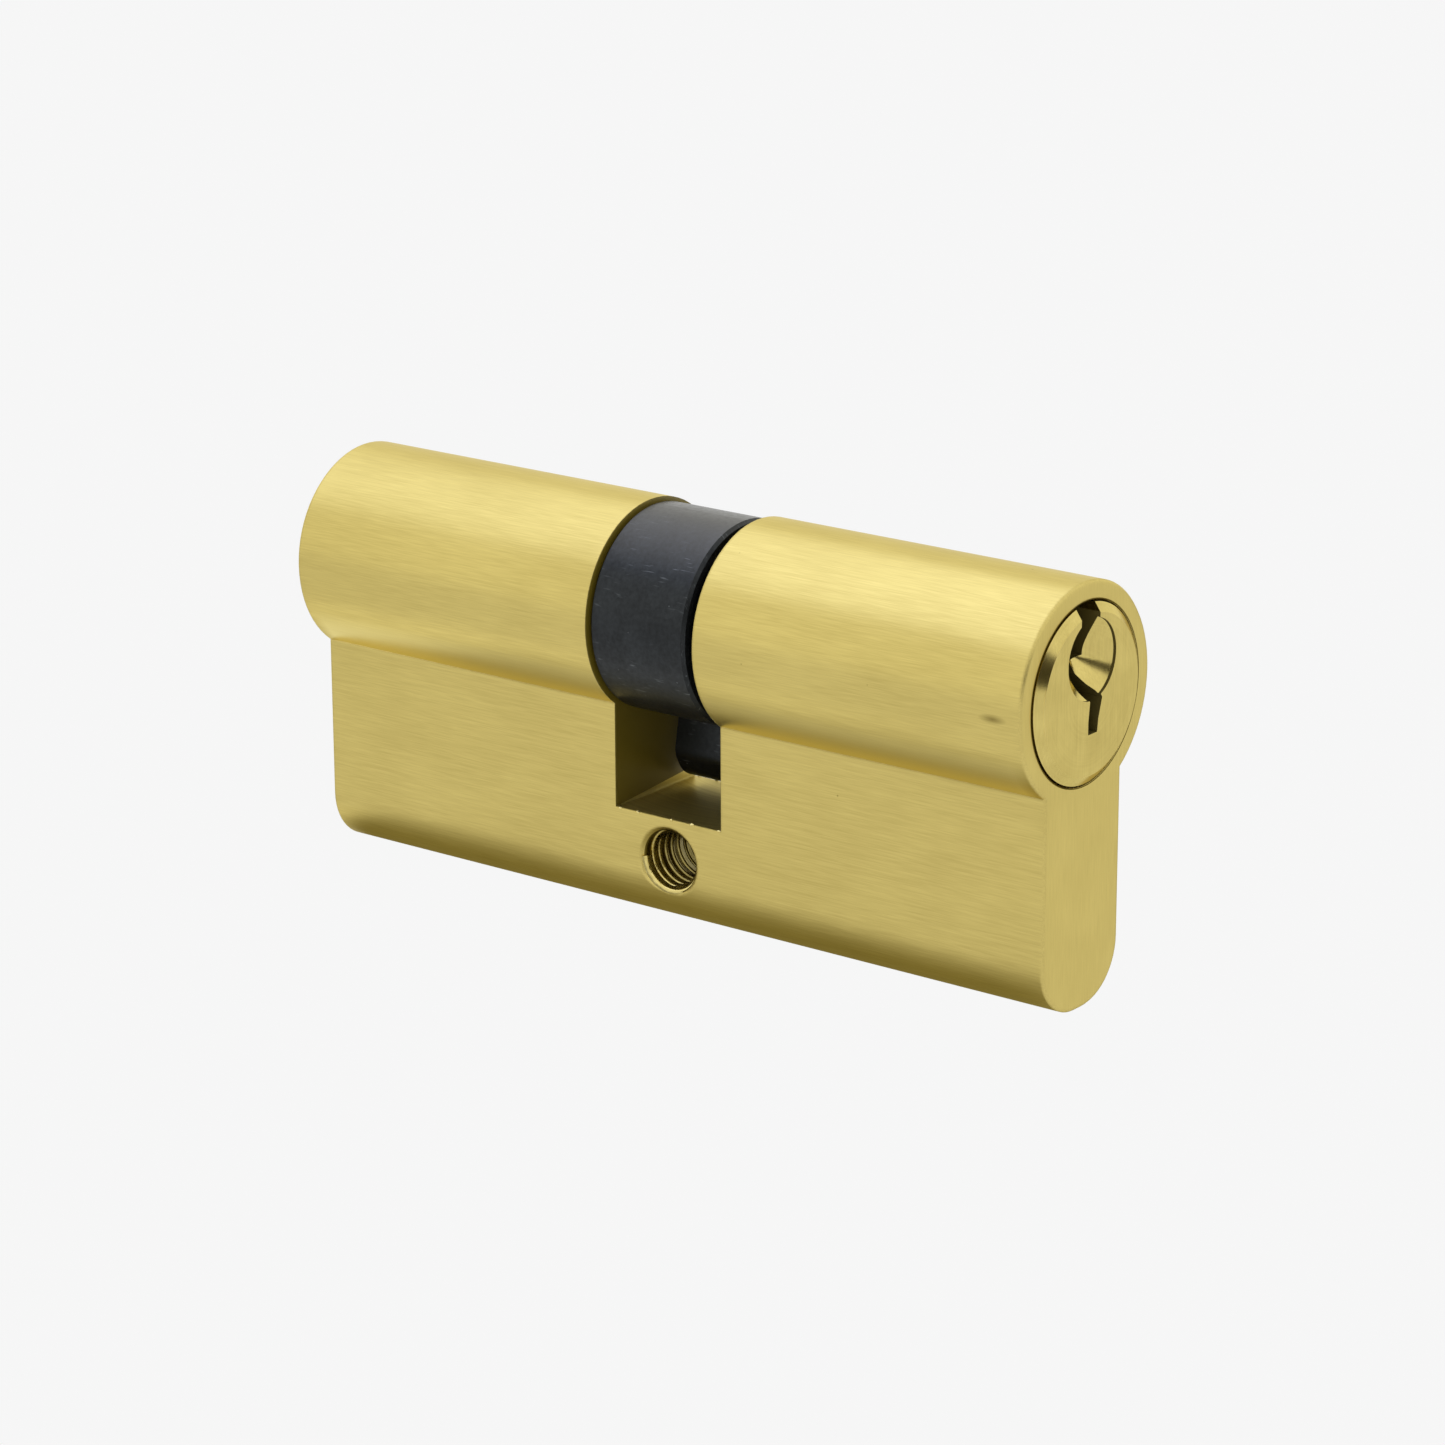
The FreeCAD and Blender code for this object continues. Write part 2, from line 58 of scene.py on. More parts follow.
BRASS_DARK, BRASS_LIGHT, BRASS_EDGE = "#c2af66", "#d5c275", "#f4eed2"
EDGE_ROUND = 0.3
WINDOW_HALF, WINDOW_FLOOR = 5.17, -15.3
CUTTER_Y, CUTTER_FEED = 14, 0.35
LIT_WEDGE_SLOPE, LIT_WEDGE_MIDDLE = 0.084, 0.42
SCREW_Z, THREAD_ROOT = -18.85, 2.5
CREASE_Z, CREASE_LIGHT_FULL_Z, CREASE_LIGHT_TOP_Z = -6.87, -6.4, -3.6
CREASE_LIGHT_FULL_X, CREASE_LIGHT_END_X = 33.5, 35
GAP_RADIUS, GAP_LINE = 7.08, 0.07
PIT_SPACING, PIT_SIZE, PIT_SHARE = 3.2, 0.14, 0.45
SMEAR_PLACE, SMEAR_SIZE = (32.6, -8.4, -0.3), (1.3, 1.5, 0.4)


def linear(code):
    """An sRGB hex colour as the linear values that a shader takes."""
    channels = [int(code[place:place + 2], 16) / 255 for place in (1, 3, 5)]
    return tuple(c / 12.92 if c <= 0.04045 else ((c + 0.055) / 1.055) ** 2.4 for c in channels) + (1.0,)


def add(tree, kind, inputs=None, **settings):
    """Add a node, set its properties, and set or link its inputs."""
    node = tree.nodes.new(kind)
    for name, setting in settings.items():
        setattr(node, name, setting)
    for name, given in (inputs or {}).items():
        if isinstance(given, bpy.types.NodeSocket):
            tree.links.new(given, node.inputs[name])
        else:
            node.inputs[name].default_value = given
    return node


def new_material(name, **uniform):
    """A node material: a Principled shader with these values on its sockets, wired to the output."""
    material = bpy.data.materials.new(name)
    material.use_nodes = True
    tree = material.node_tree
    tree.nodes.clear()
    sockets = {word.replace("_", " ").title(): value for word, value in uniform.items()}
    shader = add(tree, "ShaderNodeBsdfPrincipled", sockets)
    add(tree, "ShaderNodeOutputMaterial", {"Surface": shader.outputs["BSDF"]})
    return material, tree, shader


def grain(tree, widths, detail=3.0, seed=0.0):
    """Noise on object coordinates whose grain has the given size in millimetres along each axis."""
    place = add(tree, "ShaderNodeTexCoord").outputs["Object"]
    scale = tuple(1 / (width * MM) for width in widths)
    mapped = add(tree, "ShaderNodeMapping", {
        "Vector": place, "Scale": scale, "Location": (seed, seed, seed),
    }).outputs[0]
    return add(tree, "ShaderNodeTexNoise", {"Vector": mapped, "Scale": 1.0, "Detail": detail}).outputs[0]


def finish_surface(tree, shader, tone, dark, light, height, bump, rough, low=0.25, high=0.75):
    """Colour, roughness and relief of a finish, from a tone that runs from 0 to 1 and a height pattern."""
    level = add(tree, "ShaderNodeMapRange", {"Value": tone, "From Min": low, "From Max": high}).outputs[0]
    colour = add(tree, "ShaderNodeMix", {
        0: level, 6: linear(dark), 7: linear(light),
    }, data_type="RGBA").outputs[2]
    tree.links.new(colour, shader.inputs["Base Color"])
    sheen = add(tree, "ShaderNodeMapRange", {
        "Value": height, "From Min": 0.3, "From Max": 0.7, "To Min": rough[1], "To Max": rough[0],
    })
    tree.links.new(sheen.outputs[0], shader.inputs["Roughness"])
    relief = add(tree, "ShaderNodeBump", {"Height": height, "Strength": bump, "Distance": 0.01 * MM})
    tree.links.new(relief.outputs[0], shader.inputs["Normal"])
    return colour, relief


def specks(tree, cell, size, share, seed=0.0):
    """A mask of scattered specks: one to a cell of this size in millimetres, in a share of the cells."""
    place = add(tree, "ShaderNodeTexCoord").outputs["Object"]
    mapped = add(tree, "ShaderNodeMapping", {
        "Vector": place, "Scale": (1 / (cell * MM),) * 3, "Location": (seed, 0, 0),
    })
    cells = add(tree, "ShaderNodeTexVoronoi", {"Vector": mapped.outputs[0], "Scale": 1.0})
    near = add(tree, "ShaderNodeMapRange", {
        "Value": cells.outputs["Distance"], "From Min": size / cell, "From Max": 0.3 * size / cell,
    })
    chosen = add(tree, "ShaderNodeMath", {
        0: cells.outputs["Color"], 1: share,
    }, operation="LESS_THAN").outputs[0]
    return add(tree, "ShaderNodeMath", {0: near.outputs[0], 1: chosen}, operation="MULTIPLY").outputs[0]


def axis_distance(tree, point, across):
    """Distance from an axis through this point. Across is 1 for each direction that leads away from it."""
    place = add(tree, "ShaderNodeTexCoord").outputs["Object"]
    aside = add(tree, "ShaderNodeVectorMath", {0: place, 1: point}, operation="SUBTRACT").outputs[0]
    aside = add(tree, "ShaderNodeVectorMath", {0: aside, 1: across}, operation="MULTIPLY").outputs[0]
    return add(tree, "ShaderNodeVectorMath", {0: aside}, operation="LENGTH").outputs["Value"]


def brushed_brass():
    """CuZn39Pb3 brass, linished: pale yellow and satin. The lines spread its highlights round the barrel."""
    material, tree, shader = new_material("brushed_brass", metallic=1.0, anisotropic=0.6)
    shader.inputs["Specular Tint"].default_value = linear(BRASS_EDGE)
    place = add(tree, "ShaderNodeTexCoord").outputs["Object"]
    facing = add(tree, "ShaderNodeSeparateXYZ", {0: add(tree, "ShaderNodeNewGeometry").outputs["Normal"]})
    side_on = add(tree, "ShaderNodeMath", {0: facing.outputs[0]}, operation="ABSOLUTE").outputs[0]
    is_end = add(tree, "ShaderNodeMath", {0: side_on, 1: 0.8}, operation="GREATER_THAN").outputs[0]
    # Lines of 0.1 mm are as coarse as a 180 grit belt cuts, the finest that shows.
    fine, broad = grain(tree, (2.6, 0.08, 0.08), 5), grain(tree, (7, 0.35, 0.35), 2, 7.0)
    along = add(tree, "ShaderNodeMix", {0: 0.2, 2: fine, 3: broad}, data_type="FLOAT").outputs[0]
    belt = grain(tree, (0.1, 0.1, 2.5), 4, 5.0)
    upright = add(tree, "ShaderNodeMix", {0: 0.5, 2: belt, 3: 0.5}, data_type="FLOAT").outputs[0]
    lines = add(tree, "ShaderNodeMix", {0: is_end, 2: along, 3: upright}, data_type="FLOAT").outputs[0]
    # Feed marks on the window's floor: arcs about the cutter's centre, which ran out past the far side.
    centre = (0, CUTTER_Y * MM, WINDOW_FLOOR * MM)
    reach = add(tree, "ShaderNodeVectorMath", {0: place, 1: centre}, operation="DISTANCE").outputs["Value"]
    steps = add(tree, "ShaderNodeMath", {0: reach, 1: 1 / (CUTTER_FEED * MM)}, operation="MULTIPLY").outputs[0]
    arcs = add(tree, "ShaderNodeTexNoise", {
        "W": steps, "Scale": 1.0, "Detail": 3.0,
    }, noise_dimensions="1D").outputs[0]
    level = add(tree, "ShaderNodeMath", {0: facing.outputs[2], 1: 0.9}, operation="GREATER_THAN").outputs[0]
    across = add(tree, "ShaderNodeSeparateXYZ", {0: place})
    middle = add(tree, "ShaderNodeMath", {
        0: across.outputs[0], 1: 0.0, 2: (WINDOW_HALF + 0.02) * MM,
    }, operation="COMPARE").outputs[0]
    above = add(tree, "ShaderNodeMath", {
        0: across.outputs[2], 1: (WINDOW_FLOOR - 0.05) * MM,
    }, operation="GREATER_THAN").outputs[0]
    inside = add(tree, "ShaderNodeMath", {0: middle, 1: above}, operation="MULTIPLY").outputs[0]
    milled = add(tree, "ShaderNodeMath", {0: level, 1: inside}, operation="MULTIPLY").outputs[0]
    lines = add(tree, "ShaderNodeMix", {0: milled, 2: lines, 3: arcs}, data_type="FLOAT").outputs[0]
    # Tarnish drifts over a few millimetres, so the tone isn't even.
    cloud = grain(tree, (9, 5, 5), 2, 4.0)
    tone = add(tree, "ShaderNodeMix", {0: 0.25, 2: lines, 3: cloud}, data_type="FLOAT").outputs[0]
    colour, relief = finish_surface(
        tree, shader, tone, BRASS_DARK, BRASS_LIGHT, lines, 0.05, (0.34, 0.38), 0.33, 0.67)
    # The belt has rounded the edges of the bar. The cutter's marks are deeper than the belt's.
    softened = add(tree, "ShaderNodeBevel", {"Radius": EDGE_ROUND * MM}, samples=4).outputs[0]
    tree.links.new(softened, relief.inputs["Normal"])
    cut = add(tree, "ShaderNodeMapRange", {"Value": milled, "To Min": 0.05, "To Max": 0.6}).outputs[0]
    tree.links.new(cut, relief.inputs["Strength"])
    # Inside the window the floor is painted a duller yellow and the walls a dark olive: painted shade. A narrow
    # wedge of the walls along the floor is left bright: painted light.
    wall = add(tree, "ShaderNodeMath", {0: inside, 1: milled}, operation="SUBTRACT").outputs[0]
    lit_wedge_top = add(tree, "ShaderNodeMath", {
        0: across.outputs[1], 1: LIT_WEDGE_SLOPE, 2: (WINDOW_FLOOR + LIT_WEDGE_MIDDLE) * MM,
    }, operation="MULTIPLY_ADD").outputs[0]
    dull = add(tree, "ShaderNodeMath", {0: across.outputs[2], 1: lit_wedge_top}, operation="GREATER_THAN").outputs[0]
    dull = add(tree, "ShaderNodeMath", {0: dull, 1: wall}, operation="MULTIPLY").outputs[0]
    window_shade = add(tree, "ShaderNodeMath", {0: inside, 1: 0.35}, operation="MULTIPLY").outputs[0]
    colour = add(tree, "ShaderNodeMix", {
        0: window_shade, 6: colour, 7: linear("#9c8938"),
    }, data_type="RGBA").outputs[2]
    colour = add(tree, "ShaderNodeMix", {0: dull, 6: colour, 7: linear("#6e5f1c")}, data_type="RGBA").outputs[2]
    # The wall of the tapped hole is painted dark: painted shade inside the hole.
    from_axis = axis_distance(tree, (0, 0, SCREW_Z * MM), (1, 0, 1))
    hole_shade = add(tree, "ShaderNodeMath", {
        0: from_axis, 1: (THREAD_ROOT + 0.1) * MM,
    }, operation="LESS_THAN").outputs[0]
    colour = add(tree, "ShaderNodeMix", {0: hole_shade, 6: colour, 7: linear("#74642a")}, data_type="RGBA").outputs[2]
    # Most of the metal's shine is taken off the walls painted with shade, and a fifth as much of it off the
    # floor.
    hidden = add(tree, "ShaderNodeMath", {0: milled, 1: 0.2, 2: dull}, operation="MULTIPLY_ADD").outputs[0]
    metal = add(tree, "ShaderNodeMapRange", {"Value": hidden, "To Min": 1.0, "To Max": 0.2}).outputs[0]
    tree.links.new(metal, shader.inputs["Metallic"])
    # A bright band is painted along the barrel, brightest just above its crease with the flange and fading out
    # near both ends: a painted highlight.
    deep = add(tree, "ShaderNodeMapRange", {
        "Value": across.outputs[2], "From Min": CREASE_LIGHT_TOP_Z * MM, "From Max": CREASE_LIGHT_FULL_Z * MM,
    }).outputs[0]
    over = add(tree, "ShaderNodeMath", {
        0: across.outputs[2], 1: CREASE_Z * MM,
    }, operation="GREATER_THAN").outputs[0]
    crease_light = add(tree, "ShaderNodeMath", {0: over, 1: is_end}, operation="GREATER_THAN").outputs[0]
    crease_light = add(tree, "ShaderNodeMath", {0: crease_light, 1: deep}, operation="MULTIPLY").outputs[0]
    along_bar = add(tree, "ShaderNodeMath", {0: across.outputs[0]}, operation="ABSOLUTE").outputs[0]
    short = add(tree, "ShaderNodeMapRange", {
        "Value": along_bar, "From Min": CREASE_LIGHT_END_X * MM, "From Max": CREASE_LIGHT_FULL_X * MM,
    }).outputs[0]
    crease_light = add(tree, "ShaderNodeMath", {0: crease_light, 1: short}, operation="MULTIPLY").outputs[0]
    colour = add(tree, "ShaderNodeMix", {0: crease_light, 6: colour, 7: linear("#f3e49c")}, data_type="RGBA").outputs[2]
    # A thin dark line is painted on the end faces just outside the gap round each plug: painted shade of the
    # gap.
    radius = axis_distance(tree, (0, 0, 0), (0, 1, 1))
    stray = add(tree, "ShaderNodeMath", {0: radius, 1: GAP_RADIUS * MM}, operation="SUBTRACT").outputs[0]
    stray = add(tree, "ShaderNodeMath", {0: stray}, operation="ABSOLUTE").outputs[0]
    gap_shade = add(tree, "ShaderNodeMapRange", {
        "Value": stray, "From Min": GAP_LINE * MM, "From Max": 0.5 * GAP_LINE * MM,
    }).outputs[0]
    gap_shade = add(tree, "ShaderNodeMath", {0: gap_shade, 1: is_end}, operation="MULTIPLY").outputs[0]
    # Small dark pits and one smear of grease where a hand has held the lock.
    pits = specks(tree, PIT_SPACING, PIT_SIZE, PIT_SHARE)
    centred = tuple(-at * MM for at in SMEAR_PLACE)
    rub = add(tree, "ShaderNodeMapping", {"Vector": place, "Location": centred}).outputs[0]
    spread = tuple(1 / (size * MM) for size in SMEAR_SIZE)
    rub = add(tree, "ShaderNodeMapping", {"Vector": rub, "Scale": spread}).outputs[0]
    size = add(tree, "ShaderNodeVectorMath", {0: rub}, operation="LENGTH").outputs["Value"]
    smear = add(tree, "ShaderNodeMapRange", {
        "Value": size, "From Min": 1.0, "From Max": 0.0, "To Max": 0.7,
    }).outputs[0]
    marks = add(tree, "ShaderNodeMath", {0: pits, 1: smear}, operation="MAXIMUM").outputs[0]
    marked = add(tree, "ShaderNodeMix", {
        0: marks, 6: colour, 7: linear("#5c4c1a"),
    }, data_type="RGBA").outputs[2]
    shade_painted = add(tree, "ShaderNodeMix", {0: gap_shade, 6: marked, 7: linear("#5a4a18")}, data_type="RGBA").outputs[2]
    tree.links.new(shade_painted, shader.inputs["Base Color"])
    # The highlight stretches across the lines: they run along X, and up the ends.
    flat = add(tree, "ShaderNodeMath", {0: 1.0, 1: is_end}, operation="SUBTRACT").outputs[0]
    run = add(tree, "ShaderNodeCombineXYZ", {0: flat, 2: is_end}).outputs[0]
    tree.links.new(run, shader.inputs["Tangent"])
    return material


def give(material, *names):
    """Give a CAD node its finish."""
    for name in names:
        mesh = nodes[name].data
        mesh.materials.clear()
        mesh.materials.append(material)


give(brushed_brass(), "cylinder_body")


# ---- Screw thread --------------------------------------------------------------------------------------
# The hole for the fixing screw is tapped M5 x 0.8 right through the foot. The ridges stand in from the
# drilled wall, and each end of the thread fades out in the hole's chamfer.

THREAD_DEPTH, THREAD_PITCH, THREAD_LENGTH = 0.42, 0.8, 9.2
SHADE_FULL_Y, SHADE_END_Y = 2.0, 4.2


def thread_nodes():
    """Geometry Nodes: a triangular ridge swept along a helix on the Y axis, thinning out at both ends."""
    tree = bpy.data.node_groups.new("screw_thread", "GeometryNodeTree")
    tree.interface.new_socket("Geometry", in_out="OUTPUT", socket_type="NodeSocketGeometry")
    for name in ("Root", "Depth", "Pitch", "Length", "Height"):
        tree.interface.new_socket(name, in_out="INPUT", socket_type="NodeSocketFloat")
    tree.interface.new_socket("Finish", in_out="INPUT", socket_type="NodeSocketMaterial")
    sizes = add(tree, "NodeGroupInput").outputs
    turns = add(tree, "ShaderNodeMath", {0: sizes["Length"], 1: sizes["Pitch"]}, operation="DIVIDE").outputs[0]
    helix = add(tree, "GeometryNodeCurveSpiral", {
        "Resolution": 48, "Rotations": turns, "Start Radius": sizes["Root"], "End Radius": sizes["Root"],
        "Height": sizes["Length"],
    }).outputs[0]
    half = add(tree, "ShaderNodeMath", {0: sizes["Length"], 1: -0.5}, operation="MULTIPLY").outputs[0]
    foot = add(tree, "ShaderNodeCombineXYZ", {2: half}).outputs[0]
    centred = add(tree, "GeometryNodeTransform", {"Geometry": helix, "Translation": foot}).outputs[0]
    lift = add(tree, "ShaderNodeCombineXYZ", {2: sizes["Height"]}).outputs[0]
    placed = add(tree, "GeometryNodeTransform", {
        "Geometry": centred, "Translation": lift, "Rotation": (math.pi / 2, 0, 0),
    }).outputs[0]
    # The ridge keeps its full section except over the last turn at each end.
    share = add(tree, "GeometryNodeSplineParameter").outputs["Factor"]
    other = add(tree, "ShaderNodeMath", {0: 1.0, 1: share}, operation="SUBTRACT").outputs[0]
    nearer = add(tree, "ShaderNodeMath", {0: share, 1: other}, operation="MINIMUM").outputs[0]
    fade = add(tree, "ShaderNodeMapRange", {"Value": nearer, "From Max": 0.08, "To Min": 0.05}).outputs[0]
    sized = add(tree, "GeometryNodeSetCurveRadius", {"Curve": placed, "Radius": fade}).outputs[0]
    section = add(tree, "GeometryNodeCurvePrimitiveCircle", {
        "Resolution": 3, "Radius": sizes["Depth"],
    }).outputs[0]
    ridge = add(tree, "GeometryNodeCurveToMesh", {
        "Curve": sized, "Profile Curve": section, "Fill Caps": True,
    }).outputs[0]
    plain = add(tree, "GeometryNodeRealizeInstances", {"Geometry": ridge}).outputs[0]
    painted = add(tree, "GeometryNodeSetMaterial", {"Geometry": plain, "Material": sizes["Finish"]}).outputs[0]
    add(tree, "NodeGroupOutput", {"Geometry": painted})
    return tree


def made_by(tree, name, values):
    """Run a Geometry Nodes tree with these inputs, and return its result as a plain mesh object."""
    maker = bpy.data.objects.new(name + "_maker", bpy.data.meshes.new(name + "_maker"))
    bpy.context.scene.collection.objects.link(maker)
    modifier = maker.modifiers.new(name, "NODES")
    modifier.node_group = tree
    for item in tree.interface.items_tree:
        if item.in_out == "INPUT" and item.name in values:
            modifier[item.identifier] = values[item.name]
    maker.update_tag()
    scene_now = bpy.context.evaluated_depsgraph_get()
    mesh = bpy.data.meshes.new_from_object(maker.evaluated_get(scene_now))
    bpy.data.objects.remove(maker)
    piece = bpy.data.objects.new(name, mesh)
    bpy.context.scene.collection.objects.link(piece)
    return piece


def tapped_brass():
    """Brass cut by a tap: bright flanks with faint chatter round the helix."""
    material, tree, shader = new_material("tapped_brass", metallic=1.0)
    cut = grain(tree, (0.5, 0.12, 0.5), 3)
    colour = finish_surface(tree, shader, cut, BRASS_DARK, "#e6d58c", cut, 0.2, (0.16, 0.28))[0]
    # The turns that lie deep in the hole are painted darker: painted shade.
    place = add(tree, "ShaderNodeTexCoord").outputs["Object"]
    inward = add(tree, "ShaderNodeSeparateXYZ", {0: place}).outputs[1]
    depth = add(tree, "ShaderNodeMath", {0: inward}, operation="ABSOLUTE").outputs[0]
    shade_painted = add(tree, "ShaderNodeMapRange", {
        "Value": depth, "From Min": SHADE_END_Y * MM, "From Max": SHADE_FULL_Y * MM, "To Max": 0.65,
    }).outputs[0]
    darkened = add(tree, "ShaderNodeMix", {
        0: shade_painted, 6: colour, 7: linear("#4d4218"),
    }, data_type="RGBA").outputs[2]
    tree.links.new(darkened, shader.inputs["Base Color"])
    return material


thread = made_by(thread_nodes(), "screw_thread", {
    "Root": (THREAD_ROOT + 0.02) * MM, "Depth": THREAD_DEPTH * MM, "Pitch": THREAD_PITCH * MM,
    "Length": THREAD_LENGTH * MM, "Height": SCREW_Z * MM, "Finish": tapped_brass(),
})
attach(thread, "housing")


# ---- Burrs ---------------------------------------------------------------------------------------------
# Where the window's cutter ran out over the side faces it left tiny curls of bright brass. They are torn
# from the bar itself and hang on along the window's lower edges, front and back.

BURR_EDGE_Y, BURR_COUNT, BURR_LENGTH = 5.0, 5, 0.36


def burr_nodes():
    """Geometry Nodes: slivers scattered along an edge, each with its own length and lean."""
    tree = bpy.data.node_groups.new("edge_burrs", "GeometryNodeTree")
    tree.interface.new_socket("Geometry", in_out="OUTPUT", socket_type="NodeSocketGeometry")
    for name in ("Half Width", "Edge", "Height", "Size"):
        tree.interface.new_socket(name, in_out="INPUT", socket_type="NodeSocketFloat")
    tree.interface.new_socket("Count", in_out="INPUT", socket_type="NodeSocketInt")
    tree.interface.new_socket("Finish", in_out="INPUT", socket_type="NodeSocketMaterial")
    sizes = add(tree, "NodeGroupInput").outputs
    left = add(tree, "ShaderNodeMath", {0: sizes["Half Width"], 1: -1.0}, operation="MULTIPLY").outputs[0]
    start = add(tree, "ShaderNodeCombineXYZ", {0: left, 1: sizes["Edge"], 2: sizes["Height"]}).outputs[0]
    end = add(tree, "ShaderNodeCombineXYZ", {
        0: sizes["Half Width"], 1: sizes["Edge"], 2: sizes["Height"],
    }).outputs[0]
    edge = add(tree, "GeometryNodeCurvePrimitiveLine", {"Start": start, "End": end}).outputs[0]
    points = add(tree, "GeometryNodeCurveToPoints", {"Curve": edge, "Count": sizes["Count"]}).outputs[0]
    stray = add(tree, "FunctionNodeRandomValue", {
        "Min": (-0.0007, 0, -0.00001), "Max": (0.0007, 0, 0.00002), "Seed": 3,
    }, data_type="FLOAT_VECTOR")
    strewn = add(tree, "GeometryNodeSetPosition", {"Geometry": points, "Offset": stray.outputs[0]}).outputs[0]
    sliver = add(tree, "GeometryNodeMeshIcoSphere", {"Radius": sizes["Size"], "Subdivisions": 1}).outputs[0]
    lean = add(tree, "FunctionNodeRandomValue", {
        "Min": (-0.4, -0.5, -0.3), "Max": (0.4, 0.5, 0.3), "Seed": 7,
    }, data_type="FLOAT_VECTOR")
    stretch = add(tree, "FunctionNodeRandomValue", {
        "Min": (0.2, 0.1, 0.2), "Max": (0.6, 0.4, 0.5), "Seed": 11,
    }, data_type="FLOAT_VECTOR")
    curls = add(tree, "GeometryNodeInstanceOnPoints", {
        "Points": strewn, "Instance": sliver, "Rotation": lean.outputs[0], "Scale": stretch.outputs[0],
    }).outputs[0]
    plain = add(tree, "GeometryNodeRealizeInstances", {"Geometry": curls}).outputs[0]
    painted = add(tree, "GeometryNodeSetMaterial", {"Geometry": plain, "Material": sizes["Finish"]}).outputs[0]
    add(tree, "NodeGroupOutput", {"Geometry": painted})
    return tree


def torn_brass():
    """Fresh torn brass: brighter than the brushed faces, because it has not tarnished."""
    material, tree, shader = new_material("torn_brass", metallic=1.0)
    tear = grain(tree, (0.08, 0.08, 0.08), 2)
    finish_surface(tree, shader, tear, "#e2d086", "#fff3b4", tear, 0.3, (0.2, 0.4))
    return material


burr_finish, burrs = torn_brass(), burr_nodes()
for side_name, side in (("front", -1), ("back", 1)):
    row = made_by(burrs, "window_burrs_" + side_name, {
        "Half Width": (WINDOW_HALF - 0.3) * MM, "Edge": side * BURR_EDGE_Y * MM, "Height": WINDOW_FLOOR * MM,
        "Size": BURR_LENGTH * MM, "Count": BURR_COUNT, "Finish": burr_finish,
    })
    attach(row, "housing")


# ---- Chamber closers -----------------------------------------------------------------------------------
# Brass slugs close the chambers that the pins are dropped into. They are punched in flush from below, five
# to each half of the foot, and the punch leaves them duller than the bar round them.

def punched_brass():
    """Brass dented by a punch: dull, with a fine hammered grain."""
    material, tree, shader = new_material("punched_brass", metallic=1.0)
    dents = grain(tree, (0.3, 0.3, 0.3), 4, 2.0)
    finish_surface(tree, shader, dents, "#a8934a", "#c2ae62", dents, 0.5, (0.34, 0.48))
    return material


give(punched_brass(), "chamber_closers_a", "chamber_closers_b")


# ---- Plugs ---------------------------------------------------------------------------------------------
# Each plug is turned from brass bar. Its face is faced off with the housing and has the same fine upright
# lines over faint turning rings, while the bevel and the key's lead-in keep the lathe tool's brighter cut.

SLOT_REACH, TURNING_FEED = 6.2, 0.2


def turned_brass():
    """Turned free-cutting brass: fine rings about the axis, and nearly mirror-like on the bevels."""
    material, tree, shader = new_material("turned_brass", metallic=1.0)
    shader.inputs["Specular Tint"].default_value = linear(BRASS_EDGE)
    radius = axis_distance(tree, (0, 0, 0), (0, 1, 1))
    steps = add(tree, "ShaderNodeMath", {
        0: radius, 1: 1 / (TURNING_FEED * MM),
    }, operation="MULTIPLY").outputs[0]
    rings = add(tree, "ShaderNodeTexNoise", {
        "W": steps, "Scale": 1.0, "Detail": 3.0,
    }, noise_dimensions="1D").outputs[0]
    upright = grain(tree, (0.14, 0.14, 5), 3, 9.0)
    lines = add(tree, "ShaderNodeMix", {0: 0.7, 2: rings, 3: upright}, data_type="FLOAT").outputs[0]
    cloud = grain(tree, (2.5, 2.5, 2.5), 3, 1.0)
    tone = add(tree, "ShaderNodeMix", {0: 0.5, 2: lines, 3: cloud}, data_type="FLOAT").outputs[0]
    normal = add(tree, "ShaderNodeNewGeometry").outputs["Normal"]
    facing = add(tree, "ShaderNodeSeparateXYZ", {0: normal}).outputs[0]
    flatness = add(tree, "ShaderNodeMath", {0: facing}, operation="ABSOLUTE").outputs[0]
    is_face = add(tree, "ShaderNodeMath", {0: flatness, 1: 0.97}, operation="GREATER_THAN").outputs[0]
    colour = finish_surface(
        tree, shader, tone, BRASS_DARK, BRASS_LIGHT, lines, 0.08, (0.3, 0.38), 0.35, 0.65)[0]
    # The upright walls inside the key slot are painted dark, rough and without metal shine: painted shade deep
    # in the slot.
    upright_wall = add(tree, "ShaderNodeMath", {0: flatness, 1: 0.3}, operation="LESS_THAN").outputs[0]
    inner = add(tree, "ShaderNodeMath", {0: radius, 1: SLOT_REACH * MM}, operation="LESS_THAN").outputs[0]
    slot_shade = add(tree, "ShaderNodeMath", {0: upright_wall, 1: inner}, operation="MULTIPLY").outputs[0]
    shade_painted = add(tree, "ShaderNodeMix", {
        0: slot_shade, 6: colour, 7: linear("#4a4016"),
    }, data_type="RGBA").outputs[2]
    tree.links.new(shade_painted, shader.inputs["Base Color"])
    metal = add(tree, "ShaderNodeMath", {0: 1.0, 1: slot_shade}, operation="SUBTRACT").outputs[0]
    tree.links.new(metal, shader.inputs["Metallic"])
    sheen = add(tree, "ShaderNodeMapRange", {
        "Value": lines, "From Min": 0.3, "From Max": 0.7, "To Min": 0.36, "To Max": 0.28,
    }).outputs[0]
    bright = add(tree, "ShaderNodeMix", {0: is_face, 2: 0.17, 3: sheen}, data_type="FLOAT").outputs[0]
    dull = add(tree, "ShaderNodeMix", {0: slot_shade, 2: bright, 3: 0.6}, data_type="FLOAT").outputs[0]
    tree.links.new(dull, shader.inputs["Roughness"])
    return material


give(turned_brass(), "plug_a", "plug_b")


# ---- Retaining rings -----------------------------------------------------------------------------------
# A stamped spring steel C-ring snaps into the groove behind each plug's bearing, inside the cam's window,
# and keeps the plug from being pulled out. It is phosphated, which leaves it dark grey.

